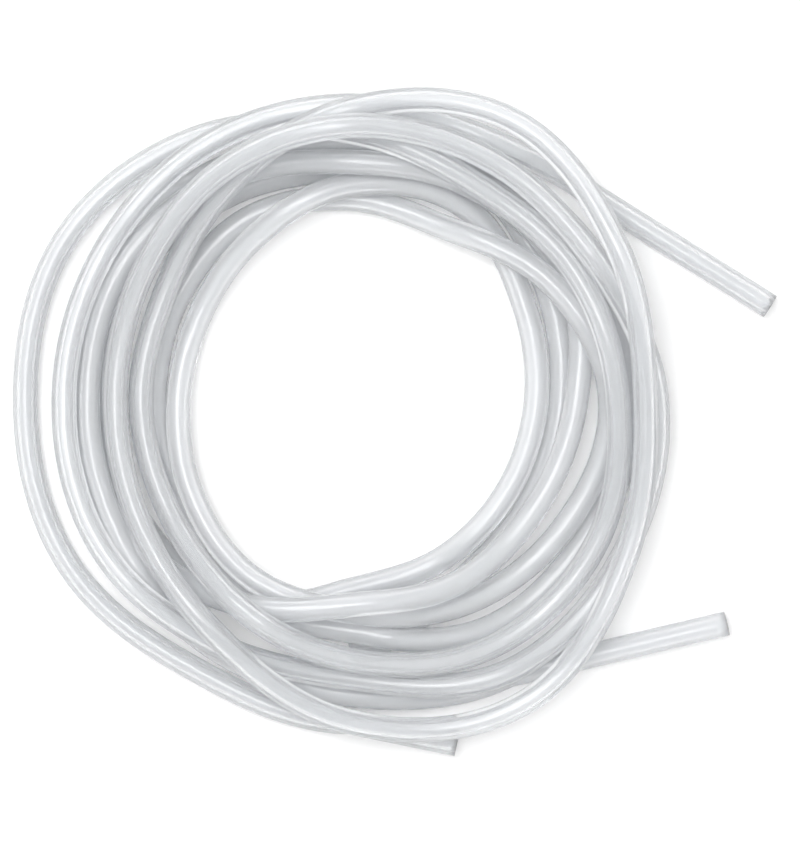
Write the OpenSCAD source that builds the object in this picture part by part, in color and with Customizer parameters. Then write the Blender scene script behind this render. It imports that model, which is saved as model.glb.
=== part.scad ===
// Two lengths of soft silicone tubing, wound together by hand into one loose coil that lies flat.
// Millimetres, +Z up. The origin is at the middle of the coil's box, on the surface that it lies on.
// Seen from above, the tubing is followed counter-clockwise, and a bearing of 0 points along +X.

/* [Tube] */
// Outer diameter of the tube
tube_od = 8; // [6:0.5:10]
// Bore of the tube
tube_id = 4; // [2:0.5:5]

/* [Coil] */
// Mean width of the coil's open middle
coil_bore = 112; // [100:1:160]
// Clearance kept between turns that lie on or beside each other
lay_gap = 0.7; // [0.6:0.1:1.2]

/* [Straight ends] */
// Straight reach of the upper right end, past the coil
upper_tail = 67; // [40:1:120]
// Straight reach of the lower right end, past the coil
lower_tail = 72; // [50:1:120]
// Straight reach of the end at the foot of the coil
foot_tail = 35; // [34:1:80]

/* [Hidden] */

tube_r = tube_od / 2;
bore_r = tube_id / 2;

// The route is taken at stations, evenly spaced in bearing
STATION_STEP = 10;
// Spacing of the bearings at which the lanes and the hole's outline are given
LANE_STEP = 30;
// The open middle's edge at every 30 degrees, as a share of its mean radius
HOLE_SHAPE = [0.98, 1.07, 1.06, 1.07, 1.01, 0.92, 0.91, 0.98, 1.07, 1.02, 0.98, 0.97];

// Lanes, in tube widths outwards from the hole's edge, at every 30 degrees, one row for each turn.
// The first tube comes in from the upper right end and leaves by the foot of the coil.
LANES_1 = concat(
    [5.1, 3.9, 3.7, 4.1, 4.45, 4.5, 4.1, 3.1, 3.5, 5.2, 5.3],
    [4.9, 3.2, 3.1, 2.8, 2.8, 2.7, 2.5, 2.3, 2.7, 5.2, 6.6, 5.4],
    [4.4, 4.2, 4.9, 3.5, 2.2, 1.6, 1.5, 1.1, 1.2, 2.7, 4.0, 4.1],
    [3.3, 2.3, 2.0, 2.7, 4.6, 6.2, 6.2, 5.75, 4.5, 5.3]
);
// The second tube starts at the end hidden under the coil and leaves at the lower right
LANES_2 = concat(
    [2.5, 1.2, 1.0],
    [1.1, 1.1, 2.2, 1.3, 2.0, 3.1, 3.1, 2.4, 1.4, 0.0, 0.0, 0.0],
    [0.1, 0.0, 1.1, 0.6, 0.0, 0.0, 0.0, 0.0, 0.1, 0.8, 2.0, 2.7],
    [3.05, 1.3, 0.0, 0.1, 0.8, 1.1, 1.0, 0.8, 1.1, 1.6, 3.3, 3.7],
    [4.2, 3.4, 2.9, 2.3, 3.1, 4.1, 4.1, 3.1, 1.3, 0.5, 1.1, 1.3],
    [1.7, 2.0, 1.9, 1.5, 2.6, 3.6, 3.6, 3.3, 3.3, 4.2, 5.4]
);
// Bearing of each tube's first lane, and of its first and last station
LANES_1_FROM = 30;
FIRST_1 = 40;
LAST_1 = 3 * 360 + 270;
LANES_2_FROM = 270;
FIRST_2 = 270;
LAST_2 = 5 * 360 + 300;
// Stations on the straight end past the last one, where other turns pass over it
PASSED_OVER = 2;

// Place in the order of laying, from a bearing on: a tube lies over those with a lower place
PLACES_1 = [[0, 7], [360, 8], [720, 9], [795, 7.5], [1080, 6], [1185, 0]];
PLACES_2 = [[0, 0], [360, 1], [720, 2], [1080, 5], [1145, 1.5], [1440, 4], [1800, 4.5]];

// Headings of the straight ends, out of the coil
UPPER_HEADING = -32;
FOOT_HEADING = -11.6;
LOWER_HEADING = 13.3;

// How the tubing settles: passes of smoothing, and how far it sinks in each
SETTLING = 200;
SINK = 0.034 * tube_od;

// Sides of the swept section
SIDES = 10;

// Smooth curve through four values, between the middle two
function through(a, b, c, d, t) =
    b + 0.5 * t * (c - a + t * (2 * a - 5 * b + 4 * c - d + t * (3 * (b - c) + d - a)));
function clamp(i, top) = max(0, min(top, i));

// Value of an open list at place u, counted in list steps
function along(list, u) =
    let (i = floor(u), top = len(list) - 1)
    through(list[clamp(i - 1, top)], list[clamp(i, top)], list[clamp(i + 1, top)], list[clamp(i + 2, top)], u - i);

// Value of a closed list, such as the hole's outline
function around(list, u) =
    let (n = len(list), i = floor(u))
    through(list[(i - 1 + n) % n], list[i % n], list[(i + 1) % n], list[(i + 2) % n], u - i);

// Distance of a tube's centre line from the middle
function reach(lanes, from, bearing) =
    coil_bore / 2 * around(HOLE_SHAPE, (bearing % 360) / LANE_STEP)
    + (along(lanes, (bearing - from) / LANE_STEP) + 0.5) * tube_od;

// Distance at which a straight end that leaves the last station passes over a further bearing
function straight_reach(distance, last, turn, bearing) =
    distance * sin(turn - last) / sin(turn - bearing);

function place(places, bearing) =
    let (passed = [for (p = places) if (bearing >= p[0]) p[1]])
    passed[len(passed) - 1];

// Stations stand on whole steps, so that those of both tubes lie over each other
function on_step(bearing) = round(bearing / STATION_STEP) * STATION_STEP;
START_1 = on_step(FIRST_1);
END_1 = on_step(LAST_1);
START_2 = on_step(FIRST_2);
END_2 = on_step(LAST_2);

// Stations: bearing, distance, place in the order, and whether the tube is held down on the surface.
// The last ones of each tube lie on its straight end.
DISTANCE_1 = reach(LANES_1, LANES_1_FROM, END_1);
DISTANCE_2 = reach(LANES_2, LANES_2_FROM, END_2);
ALL = concat(
    [for (b = [START_1 : STATION_STEP : END_1])
        [b, reach(LANES_1, LANES_1_FROM, b), place(PLACES_1, b), b == START_1 || b == END_1]],
    [for (k = [1 : PASSED_OVER])
        let (b = END_1 + k * STATION_STEP)
        [b, straight_reach(DISTANCE_1, END_1, FOOT_HEADING, b), place(PLACES_1, b), true]],
    [for (b = [START_2 : STATION_STEP : END_2])
        [b, reach(LANES_2, LANES_2_FROM, b), place(PLACES_2, b), b == START_2 || b == END_2]],
    [for (k = [1 : PASSED_OVER])
        let (b = END_2 + k * STATION_STEP)
        [b, straight_reach(DISTANCE_2, END_2, LOWER_HEADING, b), place(PLACES_2, b), true]]
);
COUNT_1 = (END_1 - START_1) / STATION_STEP + 1 + PASSED_OVER;
TOP = len(ALL) - 1;

// How fast a tube moves outwards at station i, which narrows the distance to its neighbours
function drift(i) =
    let (a = i == 0 || i == COUNT_1 ? i : i - 1, b = i == COUNT_1 - 1 || i == TOP ? i : i + 1)
    (ALL[b][1] - ALL[a][1]) / ((ALL[b][0] - ALL[a][0]) * PI / 180 * ALL[i][1]);
DRIFTS = [for (i = [0 : TOP]) abs(drift(i))];

// What station i lies over, and how much higher it has to be there
function lifts(i) =
    [for (j = [0 : TOP])
        if ((ALL[j][0] - ALL[i][0]) % 360 == 0 && ALL[j][2] < ALL[i][2])
            let (gap = abs(ALL[j][1] - ALL[i][1]) * cos(atan(max(DRIFTS[i], DRIFTS[j]))))
            if (gap < tube_od + lay_gap) [j, sqrt(pow(tube_od + lay_gap, 2) - gap * gap)]];
UNDER = [for (i = [0 : TOP]) ALL[i][3] ? [] : lifts(i)];

// Height of station i after one pass: smoothed along the tube, sunk a little, and held up by what is under it
function eased(z, i) =
    ALL[i][3] ? tube_r
    : max(concat(
        [tube_r, (z[i - 1] + 2 * z[i] + z[i + 1]) / 4 - SINK],
        [for (u = UNDER[i]) z[u[0]] + u[1]]
    ));
function settled(z, passes) =
    passes == 0 ? z : settled([for (i = [0 : TOP]) eased(z, i)], passes - 1);
HEIGHTS = settled([for (s = ALL) tube_r], SETTLING);

function point(i) = [ALL[i][1] * cos(ALL[i][0]), ALL[i][1] * sin(ALL[i][0]), HEIGHTS[i]];
function heading(a) = [cos(a), sin(a), 0];

// Centre lines between the straight ends
LINE_1 = [for (i = [0 : COUNT_1 - 1 - PASSED_OVER]) point(i)];
LINE_2 = [for (i = [COUNT_1 : TOP - PASSED_OVER]) point(i)];

// A straight end: where it starts, its heading and its length
UPPER_END = [LINE_1[0], UPPER_HEADING, upper_tail];
FOOT_END = [LINE_1[len(LINE_1) - 1], FOOT_HEADING, foot_tail];
LOWER_END = [LINE_2[len(LINE_2) - 1], LOWER_HEADING, lower_tail];

// Middle of the coil's box, from the lines' own reach and the rims of the three mouths
function rim(end) =
    let (d = heading(end[1]), m = end[0] + end[2] * d, across = [d[1], -d[0], 0] * tube_r)
    [m + across, m - across];
SPREAD = concat(
    [for (p = concat(LINE_1, LINE_2), a = [0 : 30 : 330]) p + tube_r * heading(a)],
    rim(UPPER_END), rim(FOOT_END), rim(LOWER_END)
);
function middle(k) = (min([for (p = SPREAD) p[k]]) + max([for (p = SPREAD) p[k]])) / 2;
MIDDLE = [middle(0), middle(1), 0];

// Section across the line at p: its ring of the given radius, with the tube running along t
function ring(p, t, r) =
    let (flat = norm([t[0], t[1]]), side = [-t[1], t[0], 0] / flat, up = cross(t, side))
    [for (k = [0 : SIDES - 1]) let (a = (k + 0.5) * 360 / SIDES) p + r * (cos(a) * side + sin(a) * up)];
function unit(v) = v / norm(v);

// One tube's turns, as one closed wall with its bore, from one heading to another
module swept(line, from, to) {
    last = len(line) - 1;
    function way(i) = i == 0 ? from : i == last ? to : unit(line[i + 1] - line[i - 1]);
    outer = [for (i = [0 : last]) each ring(line[i], way(i), tube_r)];
    inner = [for (i = [0 : last]) each ring(line[i], way(i), bore_r / cos(180 / SIDES))];
    n = len(outer);
    skin = [for (i = [0 : last - 1], k = [0 : SIDES - 1])
        let (a = i * SIDES + k, b = i * SIDES + (k + 1) % SIDES)
        each [[a, a + SIDES, b + SIDES], [a, b + SIDES, b]]];
    bore = [for (f = skin) [f[2] + n, f[1] + n, f[0] + n]];
    caps = [for (k = [0 : SIDES - 1])
        let (a = k, b = (k + 1) % SIDES, e = last * SIDES)
        each [[a, b, b + n], [a, b + n, a + n], [e + b, e + a, e + a + n], [e + b, e + a + n, e + b + n]]];
    polyhedron(points = concat(outer, inner), faces = concat(skin, bore, caps), convexity = 10);
}

// A straight end with a true round bore, cut square to the tube
module straight_end(end) {
    translate(end[0]) rotate([0, 0, end[1]]) rotate([0, 90, 0]) difference() {
        cylinder(r = tube_r, h = end[2], $fn = 48);
        translate([0, 0, -1]) cylinder(r = bore_r, h = end[2] + 2, $fn = 48);
    }
}

// The tube that lies mostly on top: its turns, from the upper right end round to the foot of the coil
module first_tube_turns() {
    color("#dfe5ea") translate(-MIDDLE) swept(LINE_1, -heading(UPPER_HEADING), heading(FOOT_HEADING));
}

module first_tube_upper_end() {
    color("#dfe5ea") translate(-MIDDLE) straight_end(UPPER_END);
}

module first_tube_foot_end() {
    color("#dfe5ea") translate(-MIDDLE) straight_end(FOOT_END);
}

// The tube that lies mostly beneath: its turns, from the hidden end round to the lower right
module second_tube_turns() {
    color("#d3dbe2") translate(-MIDDLE)
        swept(LINE_2, unit(LINE_2[1] - LINE_2[0]), heading(LOWER_HEADING));
}

module second_tube_lower_end() {
    color("#d3dbe2") translate(-MIDDLE) straight_end(LOWER_END);
}

first_tube_turns();
first_tube_upper_end();
first_tube_foot_end();
second_tube_turns();
second_tube_lower_end();
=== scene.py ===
"""A loose, hand-wound coil of translucent silicone tubing: two lengths wound together, lying flat.

The route of both tubes is worked out from given lanes and an order of laying, as in the part's source.
Lengths in this file are millimetres until a shape is made, which is in metres.
"""

import logging
import math
from dataclasses import dataclass, field
from enum import Enum
from typing import List, Sequence, Tuple

import bmesh
import bpy
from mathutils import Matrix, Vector

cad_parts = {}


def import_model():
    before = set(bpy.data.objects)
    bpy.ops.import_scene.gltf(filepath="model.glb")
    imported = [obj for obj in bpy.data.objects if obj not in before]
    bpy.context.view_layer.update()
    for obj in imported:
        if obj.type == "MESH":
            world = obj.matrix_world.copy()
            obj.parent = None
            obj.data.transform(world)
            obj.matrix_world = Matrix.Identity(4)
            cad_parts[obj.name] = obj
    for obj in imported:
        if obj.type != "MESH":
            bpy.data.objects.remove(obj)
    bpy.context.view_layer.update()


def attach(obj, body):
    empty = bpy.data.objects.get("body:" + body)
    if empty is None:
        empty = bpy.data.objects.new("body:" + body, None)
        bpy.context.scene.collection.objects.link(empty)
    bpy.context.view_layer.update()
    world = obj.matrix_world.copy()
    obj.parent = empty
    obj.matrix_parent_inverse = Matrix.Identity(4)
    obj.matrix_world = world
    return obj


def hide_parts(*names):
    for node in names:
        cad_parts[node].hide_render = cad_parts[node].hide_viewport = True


LOG = logging.getLogger("tubing_coil")

MM = 0.001
Point = Tuple[float, float, float]


@dataclass(frozen=True)
class TubeSize:
    """Section of the tubing, in millimetres."""

    outer: float = 8.0
    bore: float = 4.0

    @property
    def radius(self) -> float:
        """Outer radius."""
        return self.outer / 2

    @property
    def wall(self) -> float:
        """Thickness of the wall."""
        return (self.outer - self.bore) / 2


@dataclass(frozen=True)
class Lay:
    """How one tube is laid round the coil.

    Lanes are in tube widths outwards from the hole's edge, at every 30 degrees, one row for each turn.
    Places give the order of laying from a bearing on: a tube lies over those with a lower place.
    The straight end that leaves the last bearing is turned out to its own heading.
    """

    lanes: Tuple[float, ...]
    lanes_from: int
    first: int
    last: int
    places: Tuple[Tuple[int, float], ...]
    turned_out: float


FIRST_LAY = Lay(
    lanes=(
        5.1, 3.9, 3.7, 4.1, 4.45, 4.5, 4.1, 3.1, 3.5, 5.2, 5.3,
        4.9, 3.2, 3.1, 2.8, 2.8, 2.7, 2.5, 2.3, 2.7, 5.2, 6.6, 5.4,
        4.4, 4.2, 4.9, 3.5, 2.2, 1.6, 1.5, 1.1, 1.2, 2.7, 4.0, 4.1,
        3.3, 2.3, 2.0, 2.7, 4.6, 6.2, 6.2, 5.75, 4.5, 5.3,
    ),
    lanes_from=30,
    first=40,
    last=3 * 360 + 270,
    places=((0, 7), (360, 8), (720, 9), (795, 7.5), (1080, 6), (1185, 0)),
    turned_out=-11.6,
)
SECOND_LAY = Lay(
    lanes=(
        2.5, 1.2, 1.0,
        1.1, 1.1, 2.2, 1.3, 2.0, 3.1, 3.1, 2.4, 1.4, 0.0, 0.0, 0.0,
        0.1, 0.0, 1.1, 0.6, 0.0, 0.0, 0.0, 0.0, 0.1, 0.8, 2.0, 2.7,
        3.05, 1.3, 0.0, 0.1, 0.8, 1.1, 1.0, 0.8, 1.1, 1.6, 3.3, 3.7,
        4.2, 3.4, 2.9, 2.3, 3.1, 4.1, 4.1, 3.1, 1.3, 0.5, 1.1, 1.3,
        1.7, 2.0, 1.9, 1.5, 2.6, 3.6, 3.6, 3.3, 3.3, 4.2, 5.4,
    ),
    lanes_from=270,
    first=270,
    last=5 * 360 + 300,
    places=((0, 0), (360, 1), (720, 2), (1080, 5), (1145, 1.5), (1440, 4), (1800, 4.5)),
    turned_out=13.3,
)


def through(a: float, b: float, c: float, d: float, t: float) -> float:
    """Smooth curve through four values, between the middle two.

    Args:
        a, b, c, d: The four values.
        t: Place between b and c, from 0 to 1.

    Returns:
        The value there.
    """
    return b + 0.5 * t * (c - a + t * (2 * a - 5 * b + 4 * c - d + t * (3 * (b - c) + d - a)))


def along(values: Sequence[float], place: float) -> float:
    """Value of an open list at a place counted in list steps.

    Args:
        values: The list.
        place: The place, which may lie between two entries.

    Returns:
        The smooth value there.
    """
    low = math.floor(place)
    top = len(values) - 1
    picked = [values[max(0, min(top, low + k))] for k in (-1, 0, 1, 2)]
    return through(*picked, place - low)


def around(values: Sequence[float], place: float) -> float:
    """Value of a closed list at a place counted in list steps.

    Args:
        values: The list, whose end meets its start.
        place: The place, which may lie between two entries.

    Returns:
        The smooth value there.
    """
    low = math.floor(place)
    picked = [values[(low + k) % len(values)] for k in (-1, 0, 1, 2)]
    return through(*picked, place - low)


def heading(angle: float) -> Vector:
    """Level direction at an angle in degrees."""
    return Vector((math.cos(math.radians(angle)), math.sin(math.radians(angle)), 0.0))


@dataclass
class Station:
    """One place on a tube's route where its height is worked out."""

    tube: int
    bearing: int
    distance: float
    place: float
    held: bool
    lifts: List[Tuple[int, float]] = field(default_factory=list)

    def point(self, level: float) -> Vector:
        """Its place at a height."""
        return self.distance * heading(self.bearing) + Vector((0, 0, level))


@dataclass(frozen=True)
class StraightEnd:
    """A straight end of a tube: where it leaves the turns, its heading in degrees and its length."""

    start: Vector
    heading: float
    length: float


@dataclass
class CoilRoute:
    """Works out where both tubes lie, from their lanes and the order of laying."""

    tube: TubeSize = TubeSize()
    coil_bore: float = 112.0
    lay_gap: float = 0.7
    upper_tail: float = 67.0
    lower_tail: float = 72.0
    foot_tail: float = 35.0
    upper_heading: float = -32.0
    station_step: int = 10
    lane_step: int = 30
    passed_over: int = 2
    settling: int = 200
    sink: float = 0.272
    path_step: float = 1.25
    straight_step: float = 4.0
    rim_step: int = 30
    hole_shape: Tuple[float, ...] = (
        0.98, 1.07, 1.06, 1.07, 1.01, 0.92, 0.91, 0.98, 1.07, 1.02, 0.98, 0.97,
    )
    lays: Tuple[Lay, Lay] = (FIRST_LAY, SECOND_LAY)

    def reach(self, lay: Lay, bearing: float) -> float:
        """Distance of a tube's centre line from the middle.

        Args:
            lay: The tube's lay.
            bearing: Bearing along the tube, in degrees.

        Returns:
            The distance in millimetres.
        """
        edge = self.coil_bore / 2 * around(self.hole_shape, (bearing % 360) / self.lane_step)
        lane = along(lay.lanes, (bearing - lay.lanes_from) / self.lane_step)
        return edge + (lane + 0.5) * self.tube.outer

    @staticmethod
    def place_at(lay: Lay, bearing: float) -> float:
        """Place in the order of laying at a bearing."""
        return [value for start, value in lay.places if bearing >= start][-1]

    def stations(self) -> List[Station]:
        """Lists the stations of both tubes; the last ones of each lie on its straight end."""
        listed = []
        for tube, lay in enumerate(self.lays):
            for bearing in range(lay.first, lay.last + 1, self.station_step):
                held = bearing in (lay.first, lay.last)
                place = self.place_at(lay, bearing)
                listed.append(Station(tube, bearing, self.reach(lay, bearing), place, held))
            distance = self.reach(lay, lay.last)
            for step in range(1, self.passed_over + 1):
                bearing = lay.last + step * self.station_step
                swing = math.sin(math.radians(lay.turned_out - lay.last))
                swing /= math.sin(math.radians(lay.turned_out - bearing))
                place = self.place_at(lay, bearing)
                listed.append(Station(tube, bearing, distance * swing, place, True))
        return listed

    @staticmethod
    def drifts(stations: List[Station]) -> List[float]:
        """How fast each station's tube moves outwards, which narrows the distance to its neighbours."""
        drifts = []
        for index, here in enumerate(stations):
            before = index - 1 if index > 0 and stations[index - 1].tube == here.tube else index
            after = index + 1
            if after >= len(stations) or stations[after].tube != here.tube:
                after = index
            turned = math.radians(stations[after].bearing - stations[before].bearing)
            moved = stations[after].distance - stations[before].distance
            drifts.append(abs(moved / (turned * here.distance)))
        return drifts

    def find_lifts(self, stations: List[Station]) -> None:
        """Notes at each station what it lies over, and how much higher it has to be there."""
        drifts = self.drifts(stations)
        apart = self.tube.outer + self.lay_gap
        for i, upper in enumerate(stations):
            if upper.held:
                continue
            for j, lower in enumerate(stations):
                if (lower.bearing - upper.bearing) % 360 or lower.place >= upper.place:
                    continue
                slope = math.atan(max(drifts[i], drifts[j]))
                gap = abs(lower.distance - upper.distance) * math.cos(slope)
                if gap < apart:
                    upper.lifts.append((j, math.sqrt(apart * apart - gap * gap)))

    def heights(self, stations: List[Station]) -> List[float]:
        """Lets the tubes settle: smoothed along their length, sunk a little, held up by what is under them.

        Args:
            stations: All stations, with their lifts.

        Returns:
            Height of the centre line at each station.
        """
        radius = self.tube.radius
        heights = [radius] * len(stations)
        for _ in range(self.settling):
            eased = []
            for index, here in enumerate(stations):
                if here.held:
                    eased.append(radius)
                    continue
                smooth = (heights[index - 1] + 2 * heights[index] + heights[index + 1]) / 4 - self.sink
                resting = [heights[j] + lift for j, lift in here.lifts]
                eased.append(max([radius, smooth] + resting))
            heights = eased
        return heights

    def middle(self, lines: List[List[Vector]], ends: List[StraightEnd]) -> Vector:
        """Middle of the coil's box on the surface, from the lines' reach and the rims of the mouths.

        Args:
            lines: Both tubes' stations as points.
            ends: The straight ends.

        Returns:
            The middle, at height 0.
        """
        radius = self.tube.radius
        around_rim = range(0, 360, self.rim_step)
        spread = [p + radius * heading(a) for line in lines for p in line for a in around_rim]
        for end in ends:
            mouth = end.start + end.length * heading(end.heading)
            across = radius * heading(end.heading - 90)
            spread += [mouth + across, mouth - across]
        middle = [(min(p[k] for p in spread) + max(p[k] for p in spread)) / 2 for k in (0, 1)]
        return Vector((middle[0], middle[1], 0.0))

    def turns(self, lay: Lay, levels: Sequence[float]) -> List[Vector]:
        """Centre line of one tube's turns.

        Args:
            lay: The tube's lay.
            levels: Height of the centre line at each of its stations.

        Returns:
            The line's points, a path step apart.
        """
        line = []
        for step in range(round((lay.last - lay.first) / self.path_step) + 1):
            bearing = lay.first + step * self.path_step
            level = along(levels, (bearing - lay.first) / self.station_step)
            line.append(self.reach(lay, bearing) * heading(bearing) + Vector((0, 0, level)))
        return line

    def straight(self, end: StraightEnd) -> List[Vector]:
        """Points along a straight end, past its start."""
        count = round(end.length / self.straight_step)
        return [end.start + end.length * (k + 1) / count * heading(end.heading) for k in range(count)]

    def lay_out(self) -> Tuple[List[Vector], List[Vector], Vector]:
        """Works out both centre lines in the coil's frame.

        Returns:
            Each tube's points, from the end that it starts with to its last cut end, and the middle of the
            coil's box as seen from the middle of its hole, all in metres.
        """
        stations = self.stations()
        self.find_lifts(stations)
        heights = self.heights(stations)
        rough, fine = [], []
        for tube, lay in enumerate(self.lays):
            own = [index for index, s in enumerate(stations) if s.tube == tube]
            own = own[: len(own) - self.passed_over]
            rough.append([stations[i].point(heights[i]) for i in own])
            fine.append(self.turns(lay, [heights[i] for i in own]))
        upper = StraightEnd(rough[0][0], self.upper_heading, self.upper_tail)
        foot = StraightEnd(rough[0][-1], self.lays[0].turned_out, self.foot_tail)
        lower = StraightEnd(rough[1][-1], self.lays[1].turned_out, self.lower_tail)
        middle = self.middle(rough, [upper, foot, lower])
        first = self.straight(upper)[::-1] + fine[0] + self.straight(foot)
        second = fine[1] + self.straight(lower)
        return [(p - middle) * MM for p in first], [(p - middle) * MM for p in second], middle * MM


class Clarity(Enum):
    """How clear the silicone is, as the share of light that passes straight through."""

    MILKY = 0.71
    HAZY = 0.76


@dataclass(frozen=True)
class SiliconeFinish:
    """Soft, translucent silicone with a faint satin skin that is a little uneven."""

    name: str
    clarity: Clarity
    tint: Tuple[float, float, float] = (0.972, 0.983, 0.996)
    refraction: float = 1.41
    smoothest: float = 0.17
    roughest: float = 0.22
    haze_scale: float = 700.0
    haze_detail: float = 3.0

    def build(self) -> bpy.types.Material:
        """Makes the material.

        Returns:
            The material, ready for a tube.
        """
        material = bpy.data.materials.new(self.name)
        material.use_nodes = True
        nodes = material.node_tree.nodes
        links = material.node_tree.links
        shader = nodes["Principled BSDF"]
        shader.inputs["Base Color"].default_value = (*self.tint, 1.0)
        shader.inputs["IOR"].default_value = self.refraction
        shader.inputs["Transmission Weight"].default_value = self.clarity.value
        coordinates = nodes.new("ShaderNodeTexCoord")
        haze = nodes.new("ShaderNodeTexNoise")
        haze.inputs["Scale"].default_value = self.haze_scale
        haze.inputs["Detail"].default_value = self.haze_detail
        ramp = nodes.new("ShaderNodeMapRange")
        ramp.inputs["To Min"].default_value = self.smoothest
        ramp.inputs["To Max"].default_value = self.roughest
        links.new(coordinates.outputs["Object"], haze.inputs["Vector"])
        links.new(haze.outputs["Fac"], ramp.inputs["Value"])
        links.new(ramp.outputs["Result"], shader.inputs["Roughness"])
        return material


@dataclass
class TubeLength:
    """One length of tubing, swept along its centre line as a hollow tube with open, square-cut ends."""

    name: str
    path: List[Vector]
    nodes: Tuple[str, ...]
    finish: SiliconeFinish
    size: TubeSize = TubeSize()
    sides: int = 32
    merge_within: float = 0.01

    def sweep(self) -> bpy.types.Object:
        """Sweeps the outer skin along the path, as a curve made into a mesh.

        Returns:
            The skin's object, open at both ends.
        """
        curve = bpy.data.curves.new(self.name + "_line", "CURVE")
        curve.dimensions = "3D"
        curve.twist_mode = "MINIMUM"
        curve.bevel_depth = self.size.radius * MM
        curve.bevel_resolution = self.sides // 2 - 2
        curve.use_fill_caps = False
        spline = curve.splines.new("POLY")
        spline.points.add(len(self.path) - 1)
        for knot, place in zip(spline.points, self.path):
            knot.co = (*place, 1.0)
        holder = bpy.data.objects.new(self.name + "_line", curve)
        bpy.context.scene.collection.objects.link(holder)
        graph = bpy.context.evaluated_depsgraph_get()
        mesh = bpy.data.meshes.new_from_object(holder.evaluated_get(graph))
        bpy.data.objects.remove(holder)
        mesh.name = self.name
        piece = bpy.data.objects.new(self.name, mesh)
        bpy.context.scene.collection.objects.link(piece)
        return piece

    def tidy(self, piece: bpy.types.Object) -> None:
        """Merges the sweep's seam, turns its faces outwards and shades it smooth.

        Args:
            piece: The swept skin.
        """
        shape = bmesh.new()
        shape.from_mesh(piece.data)
        bmesh.ops.remove_doubles(shape, verts=shape.verts, dist=self.merge_within * MM)
        bmesh.ops.recalc_face_normals(shape, faces=shape.faces)
        for face in shape.faces:
            face.smooth = True
        shape.to_mesh(piece.data)
        shape.free()

    def build(self) -> bpy.types.Object:
        """Makes the tube with its wall, its material and its place in the frame.

        Returns:
            The finished piece.
        """
        piece = self.sweep()
        self.tidy(piece)
        wall = piece.modifiers.new("wall", "SOLIDIFY")
        wall.thickness = self.size.wall * MM
        wall.offset = -1.0
        wall.use_rim = True
        wall.use_even_offset = False
        piece.data.materials.clear()
        piece.data.materials.append(self.finish.build())
        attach(piece, "root")
        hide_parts(*self.nodes)
        return piece


@dataclass(frozen=True)
class Lamp:
    """A soft square lamp: where it hangs and how wide it is, in metres, and its power in watts."""

    name: str
    place: Point
    size: float
    watts: float


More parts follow.
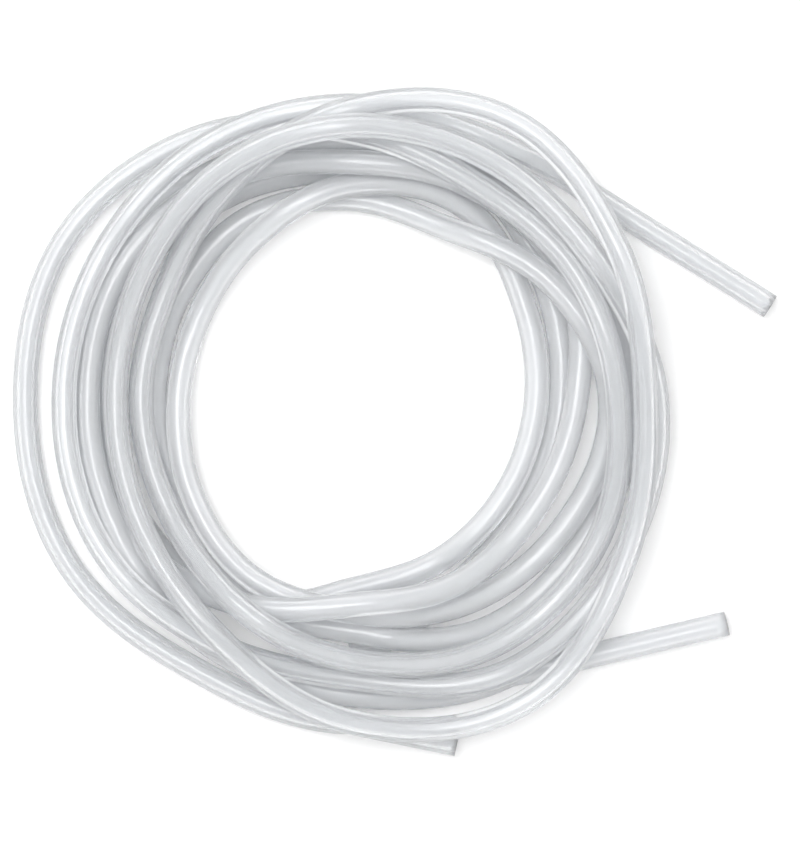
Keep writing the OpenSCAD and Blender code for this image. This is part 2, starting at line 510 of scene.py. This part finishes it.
@dataclass
class Studio:
    """White table that glows faintly of its own to lighten shadows, soft light from the upper left, and the
    camera straight above.
    """

    middle: Vector
    photo_centre: Tuple[float, float] = (400.0, 425.0)
    hole_centre: Tuple[float, float] = (350.0, 400.0)
    millimetres_per_pixel: float = 0.32
    image_height: int = 850
    height: float = 1.6
    focus_height: float = 0.012
    sensor: float = 24.0
    sight: float = 20.0
    floor_size: float = 6.0
    table_tone: float = 0.86
    table_roughness: float = 0.7
    table_shine: float = 0.2
    # Strength of the table's own glow: painted light that lightens the shadows on it and lights the tubes
    # from beneath.
    table_glow: float = 0.14
    room_strength: float = 0.76
    most_bounces: int = 64
    diffuse_bounces: int = 24
    key: Lamp = Lamp("key", (-0.5, 0.55, 1.6), 0.5, 8.0)
    overhead: Lamp = Lamp("overhead", (-0.15, 0.1, 2.0), 0.8, 14.0)

    def camera(self) -> bpy.types.Object:
        """Places the camera straight above, at the photograph's scale.

        Returns:
            The camera.
        """
        data = bpy.data.cameras.new("camera")
        camera = bpy.data.objects.new("camera", data)
        bpy.context.scene.collection.objects.link(camera)
        scale = self.millimetres_per_pixel * MM
        x = (self.photo_centre[0] - self.hole_centre[0]) * scale - self.middle.x
        y = (self.hole_centre[1] - self.photo_centre[1]) * scale - self.middle.y
        camera.location = (x, y, self.height)
        data.sensor_fit = "VERTICAL"
        data.sensor_height = self.sensor
        data.lens = self.sensor * (self.height - self.focus_height) / (self.image_height * scale)
        data.clip_end = self.sight
        bpy.context.scene.camera = camera
        return camera

    def floor(self) -> bpy.types.Object:
        """Makes the white table top, which glows faintly of its own: painted light that lightens its
        shadows and lights the tubes from beneath.

        Returns:
            The floor.
        """
        mesh = bpy.data.meshes.new("floor")
        shape = bmesh.new()
        bmesh.ops.create_grid(shape, x_segments=1, y_segments=1, size=self.floor_size / 2)
        shape.to_mesh(mesh)
        shape.free()
        floor = bpy.data.objects.new("floor", mesh)
        bpy.context.scene.collection.objects.link(floor)
        paper = bpy.data.materials.new("white_table")
        paper.use_nodes = True
        shader = paper.node_tree.nodes["Principled BSDF"]
        tone = self.table_tone
        shader.inputs["Base Color"].default_value = (tone, tone, tone, 1.0)
        shader.inputs["Roughness"].default_value = self.table_roughness
        shader.inputs["Specular IOR Level"].default_value = self.table_shine
        # Painted light: the table glows faintly white of its own, which lightens the shadows on it and
        # lights the tubes from beneath.
        shader.inputs["Emission Color"].default_value = (1.0, 1.0, 1.0, 1.0)
        shader.inputs["Emission Strength"].default_value = self.table_glow
        mesh.materials.append(paper)
        return floor

    def hang(self, lamp: Lamp) -> bpy.types.Object:
        """Hangs a lamp so that it points at the coil.

        Args:
            lamp: The lamp.

        Returns:
            Its object.
        """
        data = bpy.data.lights.new(lamp.name, "AREA")
        data.shape = "SQUARE"
        data.size = lamp.size
        data.energy = lamp.watts
        hung = bpy.data.objects.new(lamp.name, data)
        bpy.context.scene.collection.objects.link(hung)
        hung.location = lamp.place
        hung.rotation_euler = Vector(lamp.place).to_track_quat("Z", "Y").to_euler()
        return hung

    def light(self) -> None:
        """Lights the table: a key from the upper left, a soft box overhead, and a white room."""
        scene = bpy.context.scene
        scene.view_settings.view_transform = "Standard"
        scene.cycles.max_bounces = self.most_bounces
        scene.cycles.diffuse_bounces = self.diffuse_bounces
        scene.cycles.transmission_bounces = self.most_bounces
        self.hang(self.key)
        self.hang(self.overhead)
        room = bpy.data.worlds.new("room")
        room.use_nodes = True
        sky = room.node_tree.nodes["Background"]
        sky.inputs["Color"].default_value = (1.0, 1.0, 1.0, 1.0)
        sky.inputs["Strength"].default_value = self.room_strength
        scene.world = room


def main() -> None:
    """Builds the studio and both tubes."""
    logging.basicConfig(level=logging.INFO, format="%(name)s: %(message)s")
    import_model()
    first, second, middle = CoilRoute().lay_out()
    studio = Studio(middle)
    studio.camera()
    TubeLength(
        "first_tube",
        first,
        ("first_tube_turns", "first_tube_upper_end", "first_tube_foot_end"),
        SiliconeFinish("milky_silicone_upper", Clarity.HAZY),
    ).build()
    TubeLength(
        "second_tube",
        second,
        ("second_tube_turns", "second_tube_lower_end"),
        SiliconeFinish("milky_silicone_lower", Clarity.MILKY),
    ).build()
    studio.floor()
    studio.light()


if __name__ == "__main__":
    main()
